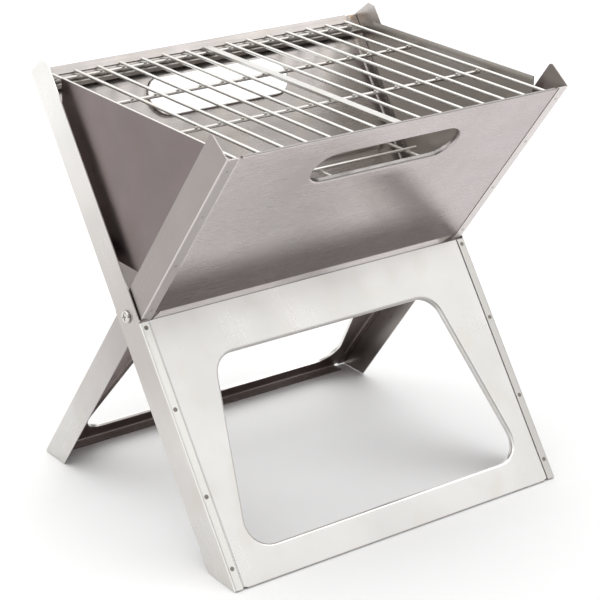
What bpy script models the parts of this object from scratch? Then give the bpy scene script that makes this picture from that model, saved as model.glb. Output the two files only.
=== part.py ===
"""Folding charcoal camp grill made of two crossed sheet-steel panels.

Each panel is an upper trough wall, a lower leg frame and two side rails. The outer panel
holds the rear wall and the front legs, the inner panel the front wall and the rear legs,
and both turn on two screws at mid height. End plates, a charcoal rack and a cooking grate
drop into the V between the walls. Metres, +Z up, +X along the hinge, the front is -Y,
and the origin is on the ground under the middle of the grill.
"""

from math import atan2, cos, pi, radians, sin, sqrt, tan

import bmesh
import bpy
from mathutils import Matrix, Vector

MM = 0.001

# Panels, measured along the panel from the hinge and across it from the hinge's plane.
PANEL_LEAN = radians(36.35)
HINGE_HEIGHT = 188.5 * MM
OUTER_HALF_WIDTH = 175.0 * MM
INNER_HALF_WIDTH = 173.0 * MM
OUTER_HALF_DEPTH = 16.2 * MM
INNER_HALF_DEPTH = 13.8 * MM
OUTER_TOP = 230.0 * MM
INNER_TOP = 229.0 * MM
OUTER_CORNER_CUT = 7.0 * MM
INNER_CORNER_CUT = 2.5 * MM
HINGE_CLEARANCE = 10.8 * MM
RAIL_THICKNESS = 0.9 * MM
SHEET_THICKNESS = 0.8 * MM
GAP = 0.3 * MM
BEND_STEPS = 4

# Flanges of the rails, and the step that lets a sheet run under them.
WALL_FLANGE = 10.5 * MM
LEG_FLANGE = 8.0 * MM
RAIL_BEND = 1.6 * MM
RAIL_FOOT_RISE = 0.4 * MM
STEP_RUN = 1.2 * MM
STEP_BEND = 1.2 * MM
FLANGE_RELIEF = 1.5 * MM
FLANGE_EDGE_GAP = 0.5 * MM
MARGIN_SIDE_GAP = 0.6 * MM

# Trough walls.
WALL_BEND = 21.0 * MM
BOTTOM_STRIP = Vector((0.0, 4.4 * MM, 20.5 * MM))
STRIP_BEND = 3.0 * MM
STRIP_INSET = 4.0 * MM
HEM_HEIGHT = 8.0 * MM
HEM_DEPTH = 2.4 * MM
HEM_BEND = 1.1 * MM
HEM_INSET = 2.0 * MM
SLOT_LENGTH = 148.5 * MM
SLOT_HEIGHT = 36.0 * MM
SLOT_CENTRE = 185.0 * MM
SLOT_FLANGE = 4.4 * MM
SLOT_BEND = 2.0 * MM

# Leg frames.
WINDOW_TOP = -54.0 * MM
WINDOW_BOTTOM = -217.0 * MM
WINDOW_HALF_TOP = 117.0 * MM
WINDOW_HALF_BOTTOM = 149.0 * MM
WINDOW_RADIUS = 21.0 * MM
WINDOW_FLANGE = 4.6 * MM
WINDOW_BEND = 2.6 * MM
FOOT_LIP = 14.0 * MM
LIP_BEND = 1.2 * MM
LIP_INSET = 3.0 * MM

# Hinge screws.
SCREW_RADIUS = 2.5 * MM
SCREW_HOLE_RADIUS = 2.58 * MM
SCREW_HEAD_RADIUS = 5.5 * MM
SCREW_HEAD_HEIGHT = 2.8 * MM
SCREW_END = 166.4 * MM
WASHER_RADIUS = 5.5 * MM
NUT_ACROSS_FLATS = 8.0 * MM
NUT_HEIGHT = 4.0 * MM

# Ledges under the cooking grate.
LEDGE_TOP_HEIGHT = 354.7 * MM
LEDGE_HALF_LENGTH = 169.5 * MM
LEDGE_BACK = 3.6 * MM
LEDGE_SHELF = 9.0 * MM
LEDGE_LIP = 4.0 * MM
LEDGE_BEND = 1.1 * MM

# Cooking grate.
BAR_COUNT = 15
BAR_HALF_SPAN = 157.5 * MM
BAR_RADIUS = 1.5 * MM
BAR_HEIGHT = 360.3 * MM
BAR_ENDS = (-138.5 * MM, 142.0 * MM)
FLAT_BAR_WIDTH = 8.0 * MM
FLAT_BAR_THICKNESS = 2.4 * MM
CROSS_WIRE_RADIUS = 1.75 * MM
CROSS_WIRE_PLACES = (-131.5 * MM, -48.0 * MM, 48.0 * MM, 135.5 * MM)
CROSS_WIRE_OVERHANG = 2.5 * MM

# Charcoal rack.
RACK_HEIGHT = 266.0 * MM
RACK_RADIUS = 1.5 * MM
RACK_ENDS = (-68.5 * MM, 71.5 * MM)
RACK_WIRE_COUNT = 5
RACK_WIRE_PLACES = (-62.0 * MM, 64.5 * MM)
RACK_CROSS_COUNT = 4
RACK_CROSS_SPAN = 150.0 * MM
RACK_WIRE_OVERHANG = 8.0 * MM

# End plates.
PLATE_PLACE = 167.0 * MM
PLATE_TOP = 366.0 * MM
PLATE_SHOULDER = 332.5 * MM
PLATE_HALF_TOP = 110.5 * MM
PLATE_HALF_BOTTOM = 33.5 * MM
PLATE_BOTTOM = 228.5 * MM
PLATE_FOOT_TOP = 240.0 * MM
PLATE_FRONT_DEPTH = -11.4 * MM
PLATE_REAR_DEPTH = 13.8 * MM

WIRE_SIDES = 12
ROUND_SIDES = 32

REAR = 1
FRONT = -1


def clear_scene():
    for obj in list(bpy.data.objects):
        bpy.data.objects.remove(obj, do_unlink=True)


def make_material(name, colour, roughness):
    material = bpy.data.materials.new(name)
    material.use_nodes = True
    shader = material.node_tree.nodes["Principled BSDF"]
    shader.inputs["Base Color"].default_value = (*colour, 1.0)
    shader.inputs["Metallic"].default_value = 1.0
    shader.inputs["Roughness"].default_value = roughness
    return material


def make_empty(name, location, lean):
    empty = bpy.data.objects.new(name, None)
    empty.empty_display_size = 20 * MM
    empty.location = location
    empty.rotation_euler = (lean, 0.0, 0.0)
    bpy.context.scene.collection.objects.link(empty)
    return empty


def make_object(name, mesh_data, material, parent=None):
    mesh = bpy.data.meshes.new(name)
    mesh_data.to_mesh(mesh)
    mesh_data.free()
    mesh.materials.append(material)
    obj = bpy.data.objects.new(name, mesh)
    obj.parent = parent
    bpy.context.scene.collection.objects.link(obj)
    return obj


def add_thickness(obj, thickness):
    """Thickens a skin away from its normals, so the drawn skin stays the outer face."""
    solidify = obj.modifiers.new("Thickness", "SOLIDIFY")
    solidify.solidify_mode = "NON_MANIFOLD"
    solidify.nonmanifold_thickness_mode = "CONSTRAINTS"
    solidify.nonmanifold_boundary_mode = "NONE"
    solidify.nonmanifold_merge_threshold = 0.001 * MM
    solidify.thickness = thickness
    solidify.offset = -1.0


def shade_round(obj):
    obj.data.shade_smooth()
    obj.data.set_sharp_from_angle(angle=radians(35))


# ---- flat skins with folds ------------------------------------------------------------


def fill_outline(mesh_data, outline, hole=()):
    """Fills a flat outline round a hole, and returns its first face and the rim of the hole."""
    edges = []
    for loop in (outline, hole):
        rim = [mesh_data.verts.new(point) for point in loop]
        for start, end in zip(rim, rim[1:] + rim[:1]):
            edges.append(mesh_data.edges.new((start, end)))
    bmesh.ops.triangle_fill(mesh_data, edges=edges, use_beauty=True, use_dissolve=False)
    mesh_data.faces.ensure_lookup_table()
    return mesh_data.faces[0], rim


def setback(heading, leg, radius):
    """How far before its corner a rolled bend starts."""
    return radius * tan(heading.angle(leg) / 2)


def rolled_path(corners, radius):
    """Points along a path whose corners are rolled to a radius."""
    points = [corners[0]]
    for last, corner, following in zip(corners, corners[1:], corners[2:]):
        before = (corner - last).normalized()
        after = (following - corner).normalized()
        chord = 2 * radius * sin(before.angle(after) / 2 / BEND_STEPS)
        points.append(corner - before * setback(before, after, radius))
        for i in range(BEND_STEPS):
            points.append(points[-1] + before.slerp(after, (i + 0.5) / BEND_STEPS) * chord)
    points.append(corners[-1])
    return points


def fold_edges(mesh_data, edges, heading, legs, radius):
    """Folds the sheet on from its edges into the legs in turn, with rolled corners.

    It comes in along the heading, and the edges lie one setback before the first corner.
    """
    corners = [-heading, Vector((0.0, 0.0, 0.0))]
    for leg in legs:
        corners.append(corners[-1] + leg)
    path = rolled_path(corners, radius)[1:]
    for step in (end - start for start, end in zip(path, path[1:])):
        made = bmesh.ops.extrude_edge_only(mesh_data, edges=edges)["geom"]
        verts = [item for item in made if isinstance(item, bmesh.types.BMVert)]
        edges = [item for item in made if isinstance(item, bmesh.types.BMEdge)]
        edges = [edge for edge in edges if edge.is_boundary and set(edge.verts) <= set(verts)]
        bmesh.ops.translate(mesh_data, verts=verts, vec=step)


def roll_rim(mesh_data, rim, outline_at, depth, inward, radius, length):
    """Rolls the rim of a hole over into a flange that goes inwards."""
    turns = [pi / 2 * (i + 1) / BEND_STEPS for i in range(BEND_STEPS)]
    rings = [(radius * (1 - sin(turn)), radius * (1 - cos(turn))) for turn in turns]
    for grown, sunk in (*rings, (0.0, length)):
        points = outline_at(depth + inward * sunk, grown)
        following = [mesh_data.verts.new(point) for point in points]
        for i in range(len(rim)):
            mesh_data.faces.new((rim[i - 1], rim[i], following[i], following[i - 1]))
        rim = following


def edges_where(mesh_data, test):
    """The open edges whose two ends both pass the test."""
    return [e for e in mesh_data.edges if e.is_boundary and all(test(v.co) for v in e.verts)]


def point_outwards(mesh_data, first_face, outward):
    """Gives the whole skin one side, with the first face turned outwards."""
    bmesh.ops.recalc_face_normals(mesh_data, faces=mesh_data.faces)
    first_face.normal_update()
    if first_face.normal.dot(outward) < 0:
        bmesh.ops.reverse_faces(mesh_data, faces=mesh_data.faces)


def arc_points(centre_x, centre_z, radius, start, end, count):
    for i in range(count + 1):
        angle = start + (end - start) * i / count
        yield centre_x + radius * cos(angle), centre_z + radius * sin(angle)


def slot_outline(depth, grown):
    """A slot with round ends across the wall."""
    reach = (SLOT_LENGTH - SLOT_HEIGHT) / 2
    radius = SLOT_HEIGHT / 2 + grown
    right = arc_points(reach, SLOT_CENTRE, radius, -pi / 2, pi / 2, 10)
    left = arc_points(-reach, SLOT_CENTRE, radius, pi / 2, 3 * pi / 2, 10)
    return [(x, depth, z) for x, z in (*right, *left)]


def window_outline(depth, grown):
    """A trapezoid with round corners, wider at the foot."""
    corners = [
        Vector((WINDOW_HALF_BOTTOM, WINDOW_BOTTOM)),
        Vector((WINDOW_HALF_TOP, WINDOW_TOP)),
        Vector((-WINDOW_HALF_TOP, WINDOW_TOP)),
        Vector((-WINDOW_HALF_BOTTOM, WINDOW_BOTTOM)),
    ]
    points = []
    for i, corner in enumerate(corners):
        to_last = (corners[i - 1] - corner).normalized()
        to_next = (corners[(i + 1) % 4] - corner).normalized()
        half_angle = to_last.angle(to_next) / 2
        middle = (to_last + to_next).normalized()
        centre = corner + middle * WINDOW_RADIUS / sin(half_angle)
        first = corner + to_last * WINDOW_RADIUS / (sin(half_angle) / cos(half_angle)) - centre
        start = atan2(first.y, first.x)
        end = start + pi - 2 * half_angle
        points.extend(arc_points(*centre, WINDOW_RADIUS + grown, start, end, 7))
    return [(x, depth, z) for x, z in points]


# ---- sheets and rails -----------------------------------------------------------------


def panel_sizes(side):
    """Half width, half depth and top of the outer panel (REAR wall) or the inner one."""
    if side == REAR:
        return OUTER_HALF_WIDTH, OUTER_HALF_DEPTH, OUTER_TOP
    return INNER_HALF_WIDTH, INNER_HALF_DEPTH, INNER_TOP


def foot_line(depth, side, rise=0.0):
    """How far down the leaning panel a line at this depth comes to the ground, or just above it."""
    return -(HINGE_HEIGHT - rise - side * depth * sin(PANEL_LEAN)) / cos(PANEL_LEAN)


def fold_margins(mesh_data, step_place, half_width, inward):
    """Steps both side margins of a sheet under the flanges of its rails."""
    for hand in (-1, 1):
        edges = edges_where(mesh_data, lambda co: abs(co.x - hand * step_place) < GAP)
        outwards = Vector((hand, 0.0, 0.0))
        slope = outwards * STEP_RUN + Vector((0.0, inward * (RAIL_THICKNESS + GAP), 0.0))
        slope_end = step_place + setback(outwards, slope, STEP_BEND) + STEP_RUN
        margin = half_width - RAIL_THICKNESS - MARGIN_SIDE_GAP - slope_end
        fold_edges(mesh_data, edges, outwards, (slope, outwards * margin), STEP_BEND)


def make_wall(name, side, material, parent):
    """Upper sheet with a handle slot, a hem along the top and a bent-in bottom strip."""
    half_width, half_depth, top = panel_sizes(side)
    depth = side * half_depth
    inward = Vector((0.0, -side, 0.0))
    down = Vector((0.0, 0.0, -1.0))
    strip = inward * BOTTOM_STRIP.y + down * BOTTOM_STRIP.z
    step_place = half_width - WALL_FLANGE - FLANGE_EDGE_GAP - STEP_RUN
    hem_place = step_place - HEM_INSET
    strip_place = step_place - STRIP_INSET
    high = top - HEM_BEND
    low = WALL_BEND + setback(down, strip, STRIP_BEND)
    outline = [
        (-step_place, depth, low),
        (-strip_place, depth, low),
        (strip_place, depth, low),
        (step_place, depth, low),
        (step_place, depth, high),
        (hem_place, depth, high),
        (-hem_place, depth, high),
        (-step_place, depth, high),
    ]
    skin = bmesh.new()
    first_face, rim = fill_outline(skin, outline, slot_outline(depth, SLOT_BEND))
    hem_edges = edges_where(skin, lambda co: abs(co.x) < hem_place + GAP and co.z > high - GAP)
    strip_edges = edges_where(skin, lambda co: abs(co.x) < strip_place + GAP and co.z < low + GAP)
    fold_margins(skin, step_place, half_width, -side)
    roll_rim(skin, rim, slot_outline, depth, -side, SLOT_BEND, SLOT_FLANGE)
    fold_edges(skin, hem_edges, -down, (inward * HEM_DEPTH, down * HEM_HEIGHT), HEM_BEND)
    fold_edges(skin, strip_edges, down, (strip,), STRIP_BEND)
    point_outwards(skin, first_face, -inward)
    wall = make_object(name, skin, material, parent)
    add_thickness(wall, SHEET_THICKNESS)


def make_leg_frame(name, side, material, parent):
    """Lower sheet with a window and a lip that lies flat on the ground."""
    half_width, half_depth, _ = panel_sizes(side)
    depth = -side * half_depth
    down = Vector((0.0, 0.0, -1.0))
    along_ground = Vector((0.0, side * cos(PANEL_LEAN), sin(PANEL_LEAN)))
    step_place = half_width - LEG_FLANGE - FLANGE_EDGE_GAP - STEP_RUN
    lip_place = step_place - LIP_INSET
    foot = foot_line(depth, side)
    lip_start = foot + setback(down, along_ground, LIP_BEND)
    margin_foot = foot + LIP_INSET
    outline = [
        (-lip_place, depth, lip_start),
        (lip_place, depth, lip_start),
        (step_place, depth, margin_foot),
        (step_place, depth, -HINGE_CLEARANCE),
        (-step_place, depth, -HINGE_CLEARANCE),
        (-step_place, depth, margin_foot),
    ]
    skin = bmesh.new()
    first_face, rim = fill_outline(skin, outline, window_outline(depth, WINDOW_BEND))
    lip_edges = edges_where(skin, lambda co: co.z < lip_start + GAP)
    fold_margins(skin, step_place, half_width, side)
    roll_rim(skin, rim, window_outline, depth, side, WINDOW_BEND, WINDOW_FLANGE)
    fold_edges(skin, lip_edges, down, (along_ground * FOOT_LIP,), LIP_BEND)
    point_outwards(skin, first_face, Vector((0.0, -side, 0.0)))
    frame = make_object(name, skin, material, parent)
    add_thickness(frame, SHEET_THICKNESS)


def make_rail(name, side, hand, material, parent):
    """Side rail: a full-length web with a flange behind the wall and one over the legs."""
    half_width, half_depth, top = panel_sizes(side)
    corner_cut = OUTER_CORNER_CUT if side == REAR else INNER_CORNER_CUT
    x = hand * half_width
    wall_side = side * half_depth
    leg_side = -wall_side
    wall_bend = wall_side - side * RAIL_BEND
    leg_bend = -wall_bend
    flange_end = HINGE_CLEARANCE + GAP
    web_end = flange_end - FLANGE_RELIEF
    outline = [
        (x, wall_side, foot_line(wall_side, side, RAIL_FOOT_RISE)),
        (x, wall_side, web_end),
        (x, wall_bend, flange_end),
        (x, wall_bend, top),
        (x, leg_side + side * corner_cut, top),
        (x, leg_side, top - corner_cut),
        (x, leg_side, -web_end),
        (x, leg_bend, -flange_end),
        (x, leg_bend, foot_line(leg_bend, side, RAIL_FOOT_RISE)),
    ]
    hole = [(x, y, z) for y, z in arc_points(0.0, 0.0, SCREW_HOLE_RADIUS, 0.0, 2 * pi, ROUND_SIDES)]
    skin = bmesh.new()
    first_face, _ = fill_outline(skin, outline, hole[:-1])
    inward = Vector((-hand, 0.0, 0.0))
    for bend, way, width in ((wall_bend, side, WALL_FLANGE), (leg_bend, -side, LEG_FLANGE)):
        heading = Vector((0.0, way, 0.0))
        edges = edges_where(skin, lambda co: abs(co.y - bend) < GAP and abs(co.z) > HINGE_CLEARANCE)
        fold_edges(skin, edges, heading, (inward * width,), RAIL_BEND)
    point_outwards(skin, first_face, -inward)
    rail = make_object(name, skin, material, parent)
    add_thickness(rail, RAIL_THICKNESS)


def make_ledge(name, side, material, parent):
    """Folded strip across the stepped margins of a wall, under one end of the cooking grate."""
    _, half_depth, _ = panel_sizes(side)
    back = half_depth - RAIL_THICKNESS - 2 * SHEET_THICKNESS - 2 * GAP
    shelf_place = (LEDGE_TOP_HEIGHT - HINGE_HEIGHT + back * sin(PANEL_LEAN)) / cos(PANEL_LEAN)
    ends = Vector((-LEDGE_HALF_LENGTH, 0.0, 0.0)), Vector((LEDGE_HALF_LENGTH, 0.0, 0.0))
    level = Vector((0.0, -side * cos(PANEL_LEAN), -sin(PANEL_LEAN)))
    down = Vector((0.0, side * sin(PANEL_LEAN), -cos(PANEL_LEAN)))
    corner = Vector((0.0, side * back, shelf_place))
    corners = [corner + Vector((0.0, 0.0, LEDGE_BACK)), corner, corner + level * LEDGE_SHELF]
    corners.append(corners[-1] + down * LEDGE_LIP)
    skin = bmesh.new()
    path = rolled_path(corners, LEDGE_BEND)
    rows = [[skin.verts.new(end + point) for end in ends] for point in path]
    for low, high in zip(rows, rows[1:]):
        skin.faces.new((low[0], low[1], high[1], high[0]))
    skin.faces.ensure_lookup_table()
    point_outwards(skin, skin.faces[0], Vector((0.0, -side, 0.0)))
    ledge = make_object(name, skin, material, parent)
    add_thickness(ledge, SHEET_THICKNESS)


# ---- hinge screws ---------------------------------------------------------------------


def turned_mesh(profile, sides):
    """Turns a closed (distance, radius) profile about X."""
    mesh_data = bmesh.new()
    rings = []
    for distance, radius in profile:
        ring = []
        for i in range(sides):
            angle = 2 * pi * i / sides
            ring.append(mesh_data.verts.new((distance, radius * cos(angle), radius * sin(angle))))
        rings.append(ring)
    for ring, following in zip(rings, rings[1:] + rings[:1]):
        for i in range(sides):
            j = (i + 1) % sides
            mesh_data.faces.new((ring[i], ring[j], following[j], following[i]))
    return mesh_data


def close_shaft(mesh_data):
    """Merges the rings of zero radius at both ends of a solid shaft."""
    bmesh.ops.remove_doubles(mesh_data, verts=mesh_data.verts, dist=0.001 * MM)
    bmesh.ops.dissolve_degenerate(mesh_data, edges=mesh_data.edges, dist=0.001 * MM)


def place_hinge_part(name, mesh_data, hand, material, parent):
    bmesh.ops.scale(mesh_data, vec=(hand, 1.0, 1.0), verts=mesh_data.verts)
    bmesh.ops.recalc_face_normals(mesh_data, faces=mesh_data.faces)
    obj = make_object(name, mesh_data, material, parent)
    shade_round(obj)
    return obj


def make_hinge(hand, material, parent):
    """Pan-head screw, the washer between the two rails, and the nut inside the inner rail."""
    word = "left" if hand < 0 else "right"
    head_base = OUTER_HALF_WIDTH + GAP
    dome = sqrt(0.5)
    profile = [(head_base + SCREW_HEAD_HEIGHT, 0.0)]
    profile.append((head_base + SCREW_HEAD_HEIGHT, SCREW_HEAD_RADIUS * 0.5))
    profile.append((head_base + SCREW_HEAD_HEIGHT * 0.9, SCREW_HEAD_RADIUS * dome))
    profile.append((head_base + SCREW_HEAD_HEIGHT * dome, SCREW_HEAD_RADIUS * 0.88))
    profile.append((head_base + SCREW_HEAD_HEIGHT * 0.35, SCREW_HEAD_RADIUS))
    profile.append((head_base, SCREW_HEAD_RADIUS))
    profile.append((head_base, SCREW_RADIUS))
    profile.append((SCREW_END, SCREW_RADIUS))
    profile.append((SCREW_END, 0.0))
    screw = turned_mesh(profile, ROUND_SIDES)
    close_shaft(screw)
    place_hinge_part("pivot_screw_" + word, screw, hand, material, parent)

    low = INNER_HALF_WIDTH + GAP
    high = OUTER_HALF_WIDTH - RAIL_THICKNESS - GAP
    square = [(low, SCREW_HOLE_RADIUS), (high, SCREW_HOLE_RADIUS)]
    square += [(high, WASHER_RADIUS), (low, WASHER_RADIUS)]
    washer = turned_mesh(square, ROUND_SIDES)
    place_hinge_part("pivot_washer_" + word, washer, hand, material, parent)

    high = INNER_HALF_WIDTH - RAIL_THICKNESS - GAP
    low = high - NUT_HEIGHT
    corner = NUT_ACROSS_FLATS / 2 / cos(pi / 6)
    nut = bmesh.new()
    sides = 24
    for distance in (low, high):
        for radius, count in ((SCREW_HOLE_RADIUS, sides), (corner, 6)):
            for i in range(count):
                angle = 2 * pi * i / count
                nut.verts.new((distance, radius * cos(angle), radius * sin(angle)))
    nut.verts.ensure_lookup_table()
    ring = sides + 6
    for base in (0, ring):
        bores = [nut.verts[base + i] for i in range(sides)]
        flats = [nut.verts[base + sides + i] for i in range(6)]
        per_flat = sides // 6
        for i in range(6):
            first = bores[i * per_flat : (i + 1) * per_flat]
            last = bores[(i + 1) * per_flat % sides]
            nut.faces.new([flats[i], flats[(i + 1) % 6], last, *reversed(first)])
    for start, count in ((0, sides), (sides, 6)):
        for i in range(count):
            j = (i + 1) % count
            quad = (start + i, start + j, ring + start + j, ring + start + i)
            nut.faces.new([nut.verts[k] for k in quad])
    place_hinge_part("pivot_nut_" + word, nut, hand, material, parent)


# ---- contents of the trough -----------------------------------------------------------


def make_wire(name, start, end, radius, material, parent):
    start, end = Vector(start), Vector(end)
    along = end - start
    turn = along.to_track_quat("Z", "Y").to_matrix().to_4x4()
    wire = bmesh.new()
    bmesh.ops.create_cone(
        wire,
        cap_ends=True,
        segments=WIRE_SIDES,
        radius1=radius,
        radius2=radius,
        depth=along.length,
        matrix=Matrix.Translation((start + end) / 2) @ turn,
    )
    obj = make_object(name, wire, material, parent)
    shade_round(obj)
    return obj


def make_cooking_grate(material, parent):
    """Fourteen round bars and one flat bar from front to rear, on four wires across."""
    pitch = 2 * BAR_HALF_SPAN / (BAR_COUNT - 1)
    front, rear = BAR_ENDS
    for i in range(BAR_COUNT):
        x = -BAR_HALF_SPAN + i * pitch
        if i == BAR_COUNT // 2:
            flat = bmesh.new()
            size = (FLAT_BAR_WIDTH, rear - front, FLAT_BAR_THICKNESS)
            drop = BAR_RADIUS - FLAT_BAR_THICKNESS / 2
            centre = Matrix.Translation((x, (front + rear) / 2, BAR_HEIGHT - drop))
            bmesh.ops.create_cube(flat, size=1.0, matrix=centre @ Matrix.Diagonal((*size, 1.0)))
            make_object("grate_flat_bar", flat, material, parent)
            continue
        name = f"grate_bar_{i + 1:02d}"
        make_wire(name, (x, front, BAR_HEIGHT), (x, rear, BAR_HEIGHT), BAR_RADIUS, material, parent)
    reach = BAR_HALF_SPAN + CROSS_WIRE_OVERHANG
    z = BAR_HEIGHT - BAR_RADIUS - GAP - CROSS_WIRE_RADIUS
    for i, y in enumerate(CROSS_WIRE_PLACES):
        name = f"grate_cross_wire_{i + 1}"
        make_wire(name, (-reach, y, z), (reach, y, z), CROSS_WIRE_RADIUS, material, parent)


def make_charcoal_rack(material, parent):
    """Long wires that the charcoal lies on, over four wires from front to rear."""
    reach = RACK_CROSS_SPAN + RACK_WIRE_OVERHANG
    first, last = RACK_WIRE_PLACES
    for i in range(RACK_WIRE_COUNT):
        y = first + (last - first) * i / (RACK_WIRE_COUNT - 1)
        ends = (-reach, y, RACK_HEIGHT), (reach, y, RACK_HEIGHT)
        make_wire(f"rack_wire_{i + 1}", *ends, RACK_RADIUS, material, parent)
    z = RACK_HEIGHT - 2 * RACK_RADIUS - GAP
    front, rear = RACK_ENDS
    for i in range(RACK_CROSS_COUNT):
        x = RACK_CROSS_SPAN * (2 * i / (RACK_CROSS_COUNT - 1) - 1)
        name = f"rack_cross_wire_{i + 1}"
        make_wire(name, (x, front, z), (x, rear, z), RACK_RADIUS, material, parent)


def wall_face(side, depth, height):
    """How far forward or back the inner face of a trough wall is at a height."""
    along = (height - HINGE_HEIGHT + side * depth * sin(PANEL_LEAN)) / cos(PANEL_LEAN)
    return depth * cos(PANEL_LEAN) + side * along * sin(PANEL_LEAN)


def make_end_plate(hand, material, parent):
    """Flat plate that closes one end of the trough, on feet that reach both walls."""
    word = "left" if hand < 0 else "right"
    x = hand * PLATE_PLACE
    run = (PLATE_HALF_TOP - PLATE_HALF_BOTTOM) / (PLATE_SHOULDER - PLATE_BOTTOM)
    waist = PLATE_HALF_BOTTOM + (PLATE_FOOT_TOP - PLATE_BOTTOM) * run
    outline = [(x, -waist, PLATE_FOOT_TOP)]
    for height in (PLATE_FOOT_TOP, PLATE_BOTTOM):
        outline.append((x, wall_face(FRONT, PLATE_FRONT_DEPTH, height), height))
    for height in (PLATE_BOTTOM, PLATE_FOOT_TOP):
        outline.append((x, wall_face(REAR, PLATE_REAR_DEPTH, height), height))
    outline += [
        (x, waist, PLATE_FOOT_TOP),
        (x, PLATE_HALF_TOP, PLATE_SHOULDER),
        (x, PLATE_HALF_TOP, PLATE_TOP),
        (x, -PLATE_HALF_TOP, PLATE_TOP),
        (x, -PLATE_HALF_TOP, PLATE_SHOULDER),
    ]
    skin = bmesh.new()
    first_face, _ = fill_outline(skin, outline)
    point_outwards(skin, first_face, Vector((hand, 0.0, 0.0)))
    plate = make_object("end_plate_" + word, skin, material, parent)
    add_thickness(plate, SHEET_THICKNESS)


def main():
    clear_scene()
    bright_steel = make_material("bright_steel", (0.78, 0.77, 0.75), 0.34)
    trough_steel = make_material("trough_steel", (0.56, 0.53, 0.52), 0.36)
    wire_steel = make_material("wire_steel", (0.86, 0.85, 0.83), 0.22)
    screw_steel = make_material("screw_steel", (0.62, 0.61, 0.60), 0.28)

    hinge_place = (0.0, 0.0, HINGE_HEIGHT)
    outer_panel = make_empty("outer_panel", hinge_place, -PANEL_LEAN)
    inner_panel = make_empty("inner_panel_pivot", hinge_place, PANEL_LEAN)
    hinge_line = make_empty("hinge_line", hinge_place, 0.0)
    cooking_grate = make_empty("cooking_grate", (0.0, 0.0, 0.0), 0.0)
    charcoal_rack = make_empty("charcoal_rack", (0.0, 0.0, 0.0), 0.0)

    make_wall("rear_wall", REAR, trough_steel, outer_panel)
    make_wall("front_wall", FRONT, trough_steel, inner_panel)
    make_leg_frame("front_leg_frame", REAR, bright_steel, outer_panel)
    make_leg_frame("rear_leg_frame", FRONT, bright_steel, inner_panel)
    make_ledge("rear_grate_ledge", REAR, trough_steel, outer_panel)
    make_ledge("front_grate_ledge", FRONT, trough_steel, inner_panel)
    for hand, word in ((-1, "left"), (1, "right")):
        make_rail("outer_rail_" + word, REAR, hand, bright_steel, outer_panel)
        make_rail("inner_rail_" + word, FRONT, hand, bright_steel, inner_panel)
        make_hinge(hand, screw_steel, hinge_line)
        make_end_plate(hand, trough_steel, None)
    make_cooking_grate(wire_steel, cooking_grate)
    make_charcoal_rack(wire_steel, charcoal_rack)


main()
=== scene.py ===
"""Looks of the folding camp grill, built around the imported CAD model. Metres, +Z up."""

from math import cos, pi, radians, sin

import bmesh
import bpy
from mathutils import Matrix, Vector


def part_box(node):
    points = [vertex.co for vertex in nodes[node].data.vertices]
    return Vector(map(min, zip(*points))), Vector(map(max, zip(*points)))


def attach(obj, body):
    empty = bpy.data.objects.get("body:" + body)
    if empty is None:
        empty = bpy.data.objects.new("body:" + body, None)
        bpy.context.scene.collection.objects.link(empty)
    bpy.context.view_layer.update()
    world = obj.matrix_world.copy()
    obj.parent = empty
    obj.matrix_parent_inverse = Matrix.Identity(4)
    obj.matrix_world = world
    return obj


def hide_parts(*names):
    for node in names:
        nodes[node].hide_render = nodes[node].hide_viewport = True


MM = 0.001

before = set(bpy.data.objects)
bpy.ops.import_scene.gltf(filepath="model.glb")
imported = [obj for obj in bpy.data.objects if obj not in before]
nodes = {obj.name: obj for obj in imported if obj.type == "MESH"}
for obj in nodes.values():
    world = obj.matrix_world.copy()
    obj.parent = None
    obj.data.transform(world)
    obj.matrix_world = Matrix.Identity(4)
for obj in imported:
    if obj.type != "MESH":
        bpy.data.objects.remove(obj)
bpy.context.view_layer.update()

# The camera's place, direction, roll in radians and lens in millimetres.
CAMERA_PLACE = Vector((-0.9752, -1.3300, 0.8428))
CAMERA_FORWARD = Vector((0.5478, 0.7446, -0.3815))
CAMERA_ROLL = 0.0094
CAMERA_LENS = 121.03

# Pale floor: how far it reaches, and how far it lies below the feet.
FLOOR_REACH = 14.0
FLOOR_DROP = 0.3 * MM
FLOOR_COLOUR = (0.93, 0.93, 0.93, 1.0)

# Soft boxes: name, place, target, width and height, glow, colour.
WHITE = (1.0, 1.0, 1.0)
WARM_WHITE = (1.0, 0.995, 0.985)
GRILL_MIDDLE = (0.0, 0.0, 0.15)
SOFT_BOXES = (
    ("top", (0.2, 1.2, 2.8), (0.2, 1.2, 0.0), (6.4, 6.0), 1.55, WHITE),
    ("backdrop", (0.6, 4.8, 1.5), (0.6, 0.0, 1.5), (9.0, 3.0), 0.85, WHITE),
    ("front_right", (1.75, -1.9, 1.8), GRILL_MIDDLE, (2.8, 3.2), 0.86, WHITE),
    ("left", (-2.7, -0.2, 1.1), GRILL_MIDDLE, (3.2, 2.2), 0.95, WARM_WHITE),
    ("front_left", (-2.0, -2.7, 1.9), GRILL_MIDDLE, (2.0, 2.0), 0.75, WHITE),
)

# The two panels lean either way about the hinge: OUTER holds the rear wall, INNER the front one.
PANEL_LEAN = radians(36.35)
OUTER = 1
INNER = -1
hinge_low, hinge_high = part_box("pivot_washer_left")
HINGE = Vector((0.0, (hinge_low.y + hinge_high.y) / 2, (hinge_low.z + hinge_high.z) / 2))

# Noise sizes and grain of the brushed steel, in metres.
CLOUD_SIZE = (0.09, 0.09, 0.09)
SMUDGE_SIZE = (0.026, 0.026, 0.034)
PATCH_SIZE = (0.05, 0.05, 0.05)
GRAIN_LENGTH = 0.06
GRAIN_WIDTH = 0.0012
GRAIN_HEIGHT = 0.00012

# Steel colours that several finishes share.
TROUGH_STEEL = (0.50, 0.45, 0.45)
BRIGHT_STEEL = (0.84, 0.825, 0.805)

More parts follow.
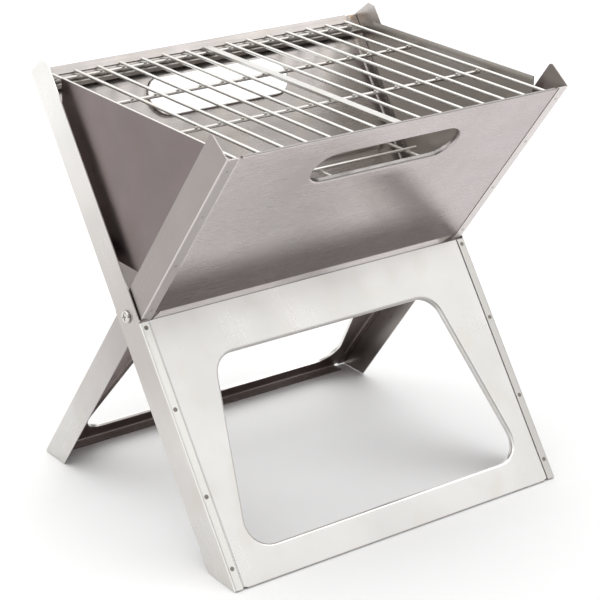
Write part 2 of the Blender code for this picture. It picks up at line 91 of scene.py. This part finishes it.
# Hinge screws.
SHAFT_RADIUS = 2.5 * MM
HEAD_GAP = 0.3 * MM
RECESS_LENGTH = 6.4 * MM
RECESS_WIDTH = 1.5 * MM
RECESS_DEPTH = 2.3 * MM
RECESS_TURN = radians(22.0)

# Spot welds. The heights run up each panel from the hinge, and the insets from its side.
FLANGE_DEPTH = {OUTER: 16.2 * MM, INNER: 13.8 * MM}
LEG_WELDS = (-16.0 * MM, -88.0 * MM, -164.0 * MM, -226.0 * MM)
WALL_WELDS = (26.0 * MM, 90.0 * MM, 156.0 * MM, 214.0 * MM)
LEG_WELD_INSET = 4.4 * MM
WALL_WELD_INSET = 5.6 * MM
LEG_WELD_RADIUS = 2.0 * MM
WALL_WELD_RADIUS = 1.5 * MM

# Beads where the wires cross.
BEAD_RADIUS = 1.65 * MM
BEAD_HEIGHT = 0.75 * MM


# ---- stage ------------------------------------------------------------------------------


def make_camera():
    forward = CAMERA_FORWARD.normalized()
    level = forward.cross(Vector((0.0, 0.0, 1.0))).normalized()
    right = Matrix.Rotation(-CAMERA_ROLL, 3, forward) @ level
    up = right.cross(forward)
    data = bpy.data.cameras.new("camera")
    data.lens = CAMERA_LENS
    data.sensor_width = 36.0
    data.clip_start = 0.05
    data.clip_end = 60.0
    camera = bpy.data.objects.new("camera", data)
    turn = Matrix((right, up, -forward)).transposed().to_4x4()
    camera.matrix_world = Matrix.Translation(CAMERA_PLACE) @ turn
    bpy.context.scene.collection.objects.link(camera)
    bpy.context.scene.camera = camera


def make_area_light(name, place, target, size, glow, colour):
    """A soft box of a width and height, as bright as the glow wherever it's reflected."""
    data = bpy.data.lights.new(name, "AREA")
    data.shape = "RECTANGLE"
    data.size, data.size_y = size
    data.energy = glow * pi * size[0] * size[1]
    data.color = colour
    light = bpy.data.objects.new(name, data)
    light.location = place
    aim = Vector(target) - Vector(place)
    light.rotation_euler = aim.to_track_quat("-Z", "Y").to_euler()
    bpy.context.scene.collection.objects.link(light)


def make_stage():
    world = bpy.data.worlds.new("studio")
    world.use_nodes = True
    background = world.node_tree.nodes["Background"]
    background.inputs["Color"].default_value = (1.0, 0.995, 0.99, 1.0)
    background.inputs["Strength"].default_value = 0.16
    bpy.context.scene.world = world
    bpy.context.scene.view_settings.view_transform = "Standard"

    mesh = bpy.data.meshes.new("floor")
    corners = []
    for x_sign, y_sign in ((-1, -1), (1, -1), (1, 1), (-1, 1)):
        corners.append((x_sign * FLOOR_REACH, y_sign * FLOOR_REACH, -FLOOR_DROP))
    mesh.from_pydata(corners, [], [(0, 1, 2, 3)])
    floor = bpy.data.objects.new("floor", mesh)
    bpy.context.scene.collection.objects.link(floor)
    paper = bpy.data.materials.new("studio_paper")
    paper.use_nodes = True
    shader = paper.node_tree.nodes["Principled BSDF"]
    shader.inputs["Base Color"].default_value = FLOOR_COLOUR
    shader.inputs["Roughness"].default_value = 0.9
    shader.inputs["Specular IOR Level"].default_value = 0.1
    mesh.materials.append(paper)

    for soft_box in SOFT_BOXES:
        make_area_light(*soft_box)


# ---- materials --------------------------------------------------------------------------


class Shader:
    """A metal material under construction: short calls for the nodes it needs.

    x is the place across the grill and up the height up the panel from the hinge, in metres.
    """

    def __init__(self, name, lean=0.0):
        self.material = bpy.data.materials.new(name)
        self.material.use_nodes = True
        self.tree = self.material.node_tree
        self.surface = self.tree.nodes["Principled BSDF"]
        self.surface.inputs["Metallic"].default_value = 1.0
        self.rest = self.node("ShaderNodeTexCoord")
        self.place = self.rest.outputs["Object"]
        self.turn = (-lean, 0.0, 0.0)
        local = self.mapped((1.0, 1.0, 1.0), HINGE)
        self.x, _, self.up = self.parts(local)

    def node(self, kind, **settings):
        made = self.tree.nodes.new(kind)
        for key, value in settings.items():
            setattr(made, key, value)
        return made

    def put(self, socket, value):
        if isinstance(value, bpy.types.NodeSocket):
            self.tree.links.new(value, socket)
        elif socket.type == "RGBA":
            socket.default_value = (*value, 1.0)
        else:
            socket.default_value = value

    def parts(self, vector):
        made = self.node("ShaderNodeSeparateXYZ")
        self.put(made.inputs[0], vector)
        return made.outputs

    def math(self, operation, *values, clamp=False):
        made = self.node("ShaderNodeMath", operation=operation, use_clamp=clamp)
        for socket, value in zip(made.inputs, values):
            self.put(socket, value)
        return made.outputs[0]

    def mapped(self, lengths, origin=(0.0, 0.0, 0.0)):
        """Position along the panel's own axes, in units of the given lengths."""
        made = self.node("ShaderNodeMapping", vector_type="TEXTURE")
        self.put(made.inputs["Vector"], self.place)
        self.put(made.inputs["Location"], origin)
        self.put(made.inputs["Rotation"], self.turn)
        self.put(made.inputs["Scale"], lengths)
        return made.outputs["Vector"]

    def noise(self, lengths, detail=3.0, roughness=0.5):
        made = self.node("ShaderNodeTexNoise")
        self.put(made.inputs["Vector"], self.mapped(lengths))
        self.put(made.inputs["Scale"], 1.0)
        self.put(made.inputs["Detail"], detail)
        self.put(made.inputs["Roughness"], roughness)
        return made.outputs["Fac"]

    def spread(self, value, low, high, to_low=0.0, to_high=1.0):
        made = self.node("ShaderNodeMapRange", interpolation_type="SMOOTHSTEP")
        for socket, number in zip(made.inputs, (value, low, high, to_low, to_high)):
            self.put(socket, number)
        return made.outputs[0]

    def hill(self, value, centre, width, strength):
        """A soft hill of the given strength about a centre value, down to 0 a width away."""
        away = self.math("ABSOLUTE", self.math("SUBTRACT", value, centre))
        return self.spread(away, 0.0, width, strength, 0.0)

    def facing(self, direction, low=0.3, high=0.7):
        """1 on faces that look along the direction, when at rest."""
        made = self.node("ShaderNodeVectorMath", operation="DOT_PRODUCT")
        self.put(made.inputs[0], self.rest.outputs["Normal"])
        made.inputs[1].default_value = direction
        return self.spread(made.outputs["Value"], low, high)

    def inside(self):
        """1 on faces that look towards the middle of the grill, 0 on its left and right outsides."""
        sideways = self.parts(self.rest.outputs["Normal"])[0]
        return self.spread(self.math("MULTIPLY", sideways, self.x), -0.10, -0.02, 1.0, 0.0)

    def mix(self, factor, first, second):
        made = self.node("ShaderNodeMix", data_type="RGBA")
        self.put(made.inputs[0], factor)
        self.put(made.inputs[6], first)
        self.put(made.inputs[7], second)
        return made.outputs[2]


def steel(
    name, colour, roughness, lean=0.0, grain="across", blotch=0.10, tints=None, relief=0.03, streak=0.04
):
    """Brushed sheet steel with soft blotches and a grain up the panel or across it.

    tints(shader) gives (mask, colour) pairs that are laid over the plain colour. The relief is the
    grain's share of a full bump, and the streak how far it raises and lowers the roughness.
    """
    shader = Shader(name, lean)
    dark = tuple(c * (1.0 - 2.0 * blotch) for c in colour)
    cloud = shader.spread(shader.noise(CLOUD_SIZE), 0.34, 0.72)
    tone = shader.mix(cloud, colour, dark)
    smudge = shader.spread(shader.noise(SMUDGE_SIZE, 1.5, 0.4), 0.48, 0.72, 0.0, 0.4)
    warm = (colour[0] * 0.90, colour[1] * 0.87, colour[2] * 0.80)
    tone = shader.mix(smudge, tone, warm)
    for mask, tint in tints(shader) if tints else ():
        tone = shader.mix(mask, tone, tint)
    shader.put(shader.surface.inputs["Base Color"], tone)
    grain_sizes = {
        "up": (GRAIN_WIDTH, GRAIN_WIDTH, GRAIN_LENGTH),
        "across": (GRAIN_LENGTH, GRAIN_WIDTH, GRAIN_WIDTH),
    }
    streaks = shader.noise(grain_sizes[grain], 3.0, 0.6)
    patches = shader.noise(PATCH_SIZE, 3.0, 0.6)
    rough = shader.spread(streaks, 0.3, 0.7, roughness - streak, roughness + streak)
    rough = shader.math("ADD", rough, shader.spread(patches, 0.3, 0.7, -0.03, 0.05))
    shader.put(shader.surface.inputs["Roughness"], rough)
    bump = shader.node("ShaderNodeBump")
    shader.put(bump.inputs["Strength"], relief)
    shader.put(bump.inputs["Distance"], GRAIN_HEIGHT)
    shader.put(bump.inputs["Height"], streaks)
    shader.put(shader.surface.inputs["Normal"], bump.outputs["Normal"])
    return shader.material


def panel_normal(side):
    """Direction from the front to the rear across a panel."""
    return Vector((0.0, cos(PANEL_LEAN), -side * sin(PANEL_LEAN)))


def panel_along(side):
    """Direction up along a panel."""
    return Vector((0.0, side * sin(PANEL_LEAN), cos(PANEL_LEAN)))


def front_wall_tints(shader):
    """Painted reflection and shade on the wall: it darkens towards its lower bend, below a slanting edge,
    with a soft dark streak along it; it is painted lighter towards its left end; a light strip runs along
    the lower bend with a dark line at its end; and the faces that look up the wall are darker.
    """
    slant = shader.math("ADD", shader.up, shader.x)
    # Painted shade: darker towards the lower bend, left of a slanting edge.
    low = shader.spread(shader.up, 0.044, 0.106, 1.0, 0.0)
    left = shader.spread(slant, 0.155, 0.200, 1.0, 0.0)
    shadow = shader.math("MULTIPLY", low, left)
    # Painted shade: a soft dark streak along the slanting edge, below the slot.
    streak = shader.hill(slant, 0.172, 0.036, 0.80)
    under_slot = shader.spread(shader.up, 0.150, 0.166, 1.0, 0.0)
    streak = shader.math("MULTIPLY", streak, under_slot)
    # Painted light: the wall is lighter towards its left end.
    painted_light_left = shader.spread(shader.x, -0.16, 0.16, 0.40, 0.0)
    # Painted reflection: a light strip along the lower bend, with a painted shade line at its lower end.
    strip = shader.spread(shader.up, 0.0200, 0.0212, 1.0, 0.0)
    strip_end_shade = shader.spread(shader.up, 0.0030, 0.0060, 1.0, 0.0)
    return (
        (painted_light_left, (0.90, 0.84, 0.82)),
        (streak, (0.26, 0.225, 0.22)),
        (shadow, (0.165, 0.136, 0.136)),
        (strip, (0.72, 0.655, 0.645)),
        (strip_end_shade, (0.12, 0.10, 0.10)),
        # Painted shade: the faces that look up the wall are darker.
        (shader.facing(panel_along(INNER), 0.6, 0.9), (0.30, 0.285, 0.275)),
    )


def rear_wall_tints(shader):
    """Darker low down, with a patch of heat tint in the upper right corner, and a painted shade on the
    faces that look up the wall.
    """
    low = shader.spread(shader.up, 0.03, 0.15, 0.6, 0.0)
    beside_rail = shader.hill(shader.x, 0.166, 0.010, 0.9)
    near_top = shader.spread(shader.up, 0.198, 0.210)
    patch = shader.spread(shader.noise((0.008, 0.008, 0.012)), 0.38, 0.55)
    heat = shader.math("MULTIPLY", shader.math("MULTIPLY", beside_rail, near_top), patch)
    return (
        (low, (0.24, 0.21, 0.20)),
        # Painted shade: the faces that look up the wall are darker.
        (shader.facing(panel_along(OUTER)), (0.36, 0.34, 0.33)),
        (heat, (0.34, 0.24, 0.15)),
    )


def leg_frame_tints(side):
    """Darker towards the hinge, with a painted shade in grey on the window's upper rim, which looks down,
    and a dark painted reflection of the shaded floor on the inner face.
    """

    def tints(shader):
        # Painted reflection: the inner face is dark, for the shaded floor it would mirror.
        inside = shader.facing(side * panel_normal(side))
        near_hinge = shader.spread(shader.up, -0.050, -0.012, 0.0, 0.35)
        # Painted shade: the rim faces that look down are grey.
        rim = shader.facing(-panel_along(side), 0.2, 0.6)
        return (
            (near_hinge, (0.70, 0.67, 0.655)),
            (rim, (0.52, 0.50, 0.485)),
            (inside, (0.23, 0.185, 0.178)),
        )

    return tints


def outer_rail_tints(shader):
    """Greyer about the hinge and brighter at the top as painted shade and light, with painted shade on the
    inside and the right flange, a little darker at the foot, and a painted highlight on the front flange
    and its fold.
    """
    # Painted shade about the hinge; painted light at the top.
    near_hinge = shader.hill(shader.up, -0.012, 0.15, 0.85)
    foot = shader.spread(shader.up, -0.24, -0.19, 0.10, 0.0)
    top = shader.spread(shader.up, 0.13, 0.21, 0.0, 0.8)
    # Painted highlight on the front flange and its fold; the right one is painted darker, a painted shade.
    flange = shader.facing(-panel_normal(OUTER), 0.05, 0.35)
    right_flange_shade = shader.math("MULTIPLY", flange, shader.spread(shader.x, -0.1, 0.1))
    return (
        (near_hinge, (0.46, 0.425, 0.405)),
        (foot, (0.62, 0.58, 0.56)),
        (top, (0.86, 0.85, 0.82)),
        # Painted shade: the faces that look inside are darker.
        (shader.inside(), (0.60, 0.565, 0.545)),
        (flange, (0.84, 0.825, 0.785)),
        (right_flange_shade, (0.63, 0.61, 0.58)),
    )


def inner_rail_tints(shader):
    """Painted reflection and shade: fades from the foot to the hinge, with a darker upper half, darker
    faces inside and a darker left flange, and a painted highlight on the front flange and its fold.
    """
    # Painted reflection: the upper half and its webs are darker, and the rail fades darker towards the
    # hinge.
    upper = shader.spread(shader.up, -0.012, 0.012)
    fade = shader.spread(shader.up, -0.20, -0.01, 0.0, 0.8)
    on_web = shader.facing((-1.0, 0.0, 0.0))
    other_web = shader.facing((1.0, 0.0, 0.0))
    webs = shader.math("ADD", on_web, other_web, clamp=True)
    upper_web_shade = shader.math("MULTIPLY", upper, webs)
    # Painted highlight on the front flange and its fold; the left one is painted darker, a painted shade.
    flange = shader.facing(-panel_normal(INNER), 0.05, 0.35)
    squarely = shader.facing(-panel_normal(INNER), 0.5, 0.9)
    left_flange_shade = shader.math("MULTIPLY", squarely, shader.spread(shader.x, -0.1, 0.1, 1.0, 0.0))
    return (
        (fade, (0.38, 0.345, 0.335)),
        (upper, (0.50, 0.47, 0.455)),
        (upper_web_shade, (0.33, 0.298, 0.282)),
        # Painted shade: the faces that look inside are darker.
        (shader.inside(), (0.40, 0.368, 0.352)),
        (flange, (0.66, 0.615, 0.605)),
        (left_flange_shade, (0.54, 0.50, 0.495)),
    )


def end_plate_tints(shader):
    """Painted shade and light: a little darker low down, and lighter on the face that looks into the
    trough.
    """
    # Painted shade low down; the face that looks into the trough is painted lighter.
    low = shader.spread(shader.up, 0.02, 0.10, 0.35, 0.0)
    return ((low, (0.20, 0.175, 0.165)), (shader.inside(), (0.56, 0.53, 0.50)))


def make_materials():
    """One finish per kind of sheet, since each catches the studio differently: the base colours are partly
    painted light and shade, set to the tone each sheet shows in its place, so one steel comes out dark on
    the end plates and cross wires and bright on the rails and leg frames.
    """
    on_outer = {"lean": PANEL_LEAN}
    on_inner = {"lean": -PANEL_LEAN}
    leg_frame = {"grain": "up", "blotch": 0.05, "relief": 0.004, "streak": 0.01}
    return {
        "front_wall": steel(
            "front_wall_steel", TROUGH_STEEL, 0.26, blotch=0.06, tints=front_wall_tints, relief=0.012,
            **on_inner,
        ),
        "rear_wall": steel(
            "rear_wall_steel", (0.44, 0.41, 0.395), 0.29, tints=rear_wall_tints, relief=0.02, **on_outer
        ),
        "front_leg_frame": steel(
            "front_frame_steel", BRIGHT_STEEL, 0.30, tints=leg_frame_tints(OUTER), **leg_frame, **on_outer
        ),
        "rear_leg_frame": steel(
            "rear_frame_steel", BRIGHT_STEEL, 0.30, tints=leg_frame_tints(INNER), **leg_frame, **on_inner
        ),
        "outer_rail": steel(
            "outer_rail_steel", (0.72, 0.70, 0.675), 0.32, grain="up", blotch=0.06, tints=outer_rail_tints,
            **on_outer,
        ),
        "inner_rail": steel(
            "inner_rail_steel", (0.67, 0.655, 0.64), 0.32, grain="up", blotch=0.05, tints=inner_rail_tints,
            **on_inner,
        ),
        # Painted shade: the end plate's dark colour stands for the dark surroundings it reflects.
        "end_plate": steel(
            "end_plate_steel", (0.215, 0.176, 0.174), 0.34, blotch=0.07, tints=end_plate_tints
        ),
        "grate_ledge": steel("ledge_steel", (0.34, 0.32, 0.30), 0.34),
        "wire": steel("wire_steel", (0.80, 0.785, 0.755), 0.30, blotch=0.03),
        # Painted shade: the cross wires are the same steel as the bars, given a darker colour.
        "grate_cross": steel("cross_wire_steel", (0.58, 0.565, 0.54), 0.24, blotch=0.05),
        "screw": steel("screw_steel", (0.66, 0.64, 0.61), 0.20, blotch=0.03),
        "weld": steel("weld_steel", (0.27, 0.245, 0.22), 0.36, blotch=0.12),
        "faint_weld": steel("faint_weld_steel", (0.46, 0.42, 0.40), 0.36, blotch=0.12),
    }


def finish_of(node):
    """The finish that a CAD node wears, from the words in its name."""
    for kind in ("outer_rail", "inner_rail", "end_plate", "grate_ledge", "grate_cross", "pivot"):
        if kind in node:
            return "screw" if kind == "pivot" else kind
    return node if node.endswith(("wall", "frame")) else "wire"


def dress_nodes():
    """Gives every CAD node its finish, with smooth bends and crisp edges."""
    for name, obj in nodes.items():
        mesh = obj.data
        mesh.materials.clear()
        mesh.materials.append(materials[finish_of(name)])
        if "custom_normal" in mesh.attributes:
            mesh.attributes.remove(mesh.attributes["custom_normal"])
        mesh.shade_smooth()
        weld = obj.modifiers.new("Join", "WELD")
        weld.merge_threshold = 0.002 * MM
        split = obj.modifiers.new("Crisp", "EDGE_SPLIT")
        split.split_angle = radians(32.0)
        split.use_edge_sharp = False
        even = obj.modifiers.new("Even", "WEIGHTED_NORMAL")
        even.mode = "FACE_AREA_WITH_ANGLE"
        even.keep_sharp = True


# ---- small parts ------------------------------------------------------------------------


def new_piece(name, mesh_data, material, body):
    mesh = bpy.data.meshes.new(name)
    mesh_data.to_mesh(mesh)
    mesh_data.free()
    mesh.materials.append(materials[material])
    mesh.shade_smooth()
    mesh.set_sharp_from_angle(angle=radians(40.0))
    piece = bpy.data.objects.new(name, mesh)
    bpy.context.scene.collection.objects.link(piece)
    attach(piece, body)
    return piece


def turn_profile(mesh_data, profile, sides, matrix):
    """Turns a (height, radius) profile about Z; a radius of 0 at an end makes a point."""
    rings = []
    for height, radius in profile:
        count = sides if radius > 0.0 else 1
        ring = []
        for i in range(count):
            angle = 2 * pi * i / sides
            point = Vector((radius * cos(angle), radius * sin(angle), height))
            ring.append(mesh_data.verts.new(matrix @ point))
        rings.append(ring)
    for ring, following in zip(rings, rings[1:]):
        for i in range(sides):
            j = (i + 1) % sides
            quad = [ring[i % len(ring)], ring[j % len(ring)], following[j % len(following)]]
            quad.append(following[i % len(following)])
            corners = list(dict.fromkeys(quad))
            if len(corners) > 2:
                mesh_data.faces.new(corners)


def cut_with(target, cutter):
    """Takes the cutter out of the target's mesh."""
    cut = target.modifiers.new("Cut", "BOOLEAN")
    cut.operation = "DIFFERENCE"
    cut.solver = "EXACT"
    cut.object = cutter
    graph = bpy.context.evaluated_depsgraph_get()
    made = bpy.data.meshes.new_from_object(target.evaluated_get(graph))
    target.modifiers.remove(cut)
    target.data = made
    bpy.data.objects.remove(cutter)


def cross_blade(length, width, depth, face, matrix):
    """One tapered blade of a cross recess, from above the face down to a depth."""
    blade = bmesh.new()
    rings = []
    for height, share in ((face + 0.2 * MM, 1.05), (face - depth, 0.45)):
        half_length, half_width = length / 2 * share, width / 2 * (0.6 + 0.4 * share)
        ring = []
        for sx, sy in ((-1, -1), (1, -1), (1, 1), (-1, 1)):
            ring.append(blade.verts.new(matrix @ Vector((sx * half_length, sy * half_width, height))))
        rings.append(ring)
    high, low = rings
    blade.faces.new(high)
    blade.faces.new(low[::-1])
    for i in range(4):
        j = (i + 1) % 4
        blade.faces.new((low[i], low[j], high[j], high[i]))
    bmesh.ops.recalc_face_normals(blade, faces=blade.faces)
    mesh = bpy.data.meshes.new("blade")
    blade.to_mesh(mesh)
    blade.free()
    obj = bpy.data.objects.new("blade", mesh)
    bpy.context.scene.collection.objects.link(obj)
    return obj


def make_screw(word, hand):
    """Pan head with a cross recess on the hinge's shaft."""
    low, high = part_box("pivot_screw_" + word)
    outer_end = max(abs(low.x), abs(high.x))
    inner_end = min(abs(low.x), abs(high.x))
    radius = (high.z - low.z) / 2
    rail_face = abs(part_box("outer_rail_" + word)[0 if hand < 0 else 1].x)
    base = rail_face + HEAD_GAP
    tall = outer_end - base
    matrix = Matrix.Translation(HINGE) @ Matrix.Rotation(hand * pi / 2, 4, "Y")
    profile = [
        (inner_end, 0.0),
        (inner_end, SHAFT_RADIUS * 0.86),
        (inner_end + 0.4 * MM, SHAFT_RADIUS),
        (base, SHAFT_RADIUS),
        (base, radius * 0.985),
        (base + 0.15 * MM, radius),
    ]
    for i in range(9):
        angle = pi / 2 * i / 8
        height = base + tall * (0.28 + 0.72 * sin(angle) ** 0.9)
        profile.append((height, radius * (0.52 + 0.48 * max(cos(angle), 0.0) ** 0.8)))
    profile.append((outer_end, 0.0))
    screw = bmesh.new()
    turn_profile(screw, profile, 40, matrix)
    bmesh.ops.recalc_face_normals(screw, faces=screw.faces)
    piece = new_piece(f"hinge_screw_{word}", screw, "screw", "outer_panel")
    for quarter in (0.0, pi / 2):
        blade_turn = matrix @ Matrix.Rotation(RECESS_TURN + quarter, 4, "Z")
        cut_with(piece, cross_blade(RECESS_LENGTH, RECESS_WIDTH, RECESS_DEPTH, outer_end, blade_turn))
    piece.data.shade_smooth()
    piece.data.set_sharp_from_angle(angle=radians(28.0))
    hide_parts("pivot_screw_" + word)


def weld_mark(mesh_data, place, outward, radius):
    """A spot weld's shallow ring around a sunk middle."""
    turn = outward.to_track_quat("Z", "Y").to_matrix().to_4x4()
    high, low = 0.10 * MM, 0.03 * MM
    profile = [(-0.05 * MM, radius), (low, radius), (high, radius * 0.82), (high, radius * 0.64)]
    profile += [(low, radius * 0.42), (low, 0.0)]
    turn_profile(mesh_data, profile, 14, Matrix.Translation(place) @ turn)


def panel_point(side, x, depth, up):
    """A point given along a panel's own axes from the middle of the hinge."""
    return HINGE + Vector((x, 0.0, 0.0)) + panel_normal(side) * depth + panel_along(side) * up


def make_weld_marks():
    """Spot welds that hold the leg frames and the walls to the flanges of their rails."""
    panels = ((OUTER, "outer_panel", "outer_rail_right"), (INNER, "inner_panel", "inner_rail_right"))
    for side, body, rail in panels:
        half_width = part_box(rail)[1].x
        rows = (
            ("leg", -side, LEG_WELDS, LEG_WELD_INSET, LEG_WELD_RADIUS, "weld"),
            ("wall", side, WALL_WELDS, WALL_WELD_INSET, WALL_WELD_RADIUS, "faint_weld"),
        )
        for row, facing, ups, inset, radius, material in rows:
            marks = bmesh.new()
            for hand in (-1, 1):
                for up in ups:
                    x = hand * (half_width - inset)
                    place = panel_point(side, x, facing * FLANGE_DEPTH[side], up)
                    weld_mark(marks, place, facing * panel_normal(side), radius)
            bmesh.ops.recalc_face_normals(marks, faces=marks.faces)
            new_piece(f"{row}_weld_marks_{body}", marks, material, body)


def weld_bead(mesh_data, place):
    """A bead as wide as the wires, which reaches a little into both of them."""
    profile = [
        (-BEAD_HEIGHT, 0.0),
        (-BEAD_HEIGHT, BEAD_RADIUS * 0.7),
        (-BEAD_HEIGHT * 0.35, BEAD_RADIUS),
        (BEAD_HEIGHT * 0.35, BEAD_RADIUS),
        (BEAD_HEIGHT, BEAD_RADIUS * 0.7),
        (BEAD_HEIGHT, 0.0),
    ]
    turn_profile(mesh_data, profile, 10, Matrix.Translation(place))


def make_crossing_welds(name, over, under, body):
    """A bead of weld between each pair of crossing wires."""
    beads = bmesh.new()
    for upper in over:
        for lower in under:
            upper_low, upper_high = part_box(upper)
            lower_low, lower_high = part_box(lower)
            from_x, to_x = max(upper_low.x, lower_low.x), min(upper_high.x, lower_high.x)
            from_y, to_y = max(upper_low.y, lower_low.y), min(upper_high.y, lower_high.y)
            middle = Vector(((from_x + to_x) / 2, (from_y + to_y) / 2, (upper_low.z + lower_high.z) / 2))
            weld_bead(beads, middle)
    bmesh.ops.recalc_face_normals(beads, faces=beads.faces)
    new_piece(name, beads, "wire", body)


make_camera()
make_stage()
materials = make_materials()
dress_nodes()
for screw_word, screw_hand in (("left", -1), ("right", 1)):
    make_screw(screw_word, screw_hand)
make_weld_marks()
grate_bars = [n for n in nodes if n.startswith(("grate_bar", "grate_flat"))]
grate_wires = [n for n in nodes if n.startswith("grate_cross")]
make_crossing_welds("grate_welds", grate_bars, grate_wires, "cooking_grate")
rack_wires = [n for n in nodes if n.startswith("rack_wire")]
rack_crosses = [n for n in nodes if n.startswith("rack_cross")]
make_crossing_welds("rack_welds", rack_wires, rack_crosses, "charcoal_rack")
